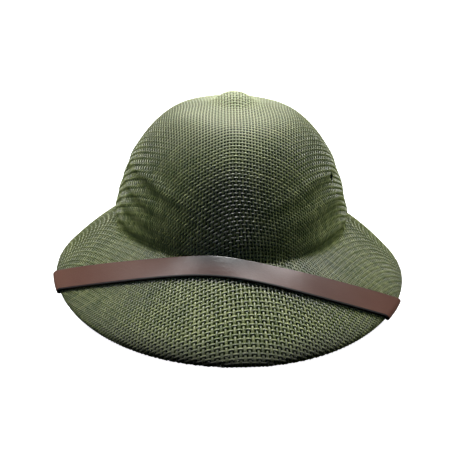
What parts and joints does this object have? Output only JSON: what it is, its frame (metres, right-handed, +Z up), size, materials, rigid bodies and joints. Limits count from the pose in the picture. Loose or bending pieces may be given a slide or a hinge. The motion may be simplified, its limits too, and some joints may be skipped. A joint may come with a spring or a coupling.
{
  "type": "beekeeping helmet",
  "caption": "Domed sun helmet of pressed woven straw with moulded side folds, a top knob, a sloping brim with a rolled hem and a leather chin strap worn over the brim.",
  "frame": {"origin": "middle of the helmet's outline at the table that its hem rests on", "axes": "+Z up, -Y to the front of the brim, +X to the wearer's left"},
  "size_m": [0.2802, 0.336, 0.1555],
  "materials": {
    "straw": "olive green plain-woven straw, stiffened and lightly glossy on the strands",
    "leather": "brown strap leather, smooth with a satin sheen and dark cut edges",
    "rivet": "dull brass"
  },
  "bodies": {
    "root": {"shell": "straw", "chin_strap": "leather", "strap_rivet_left": "rivet", "strap_rivet_right": "rivet"}
  },
  "joints": []
}
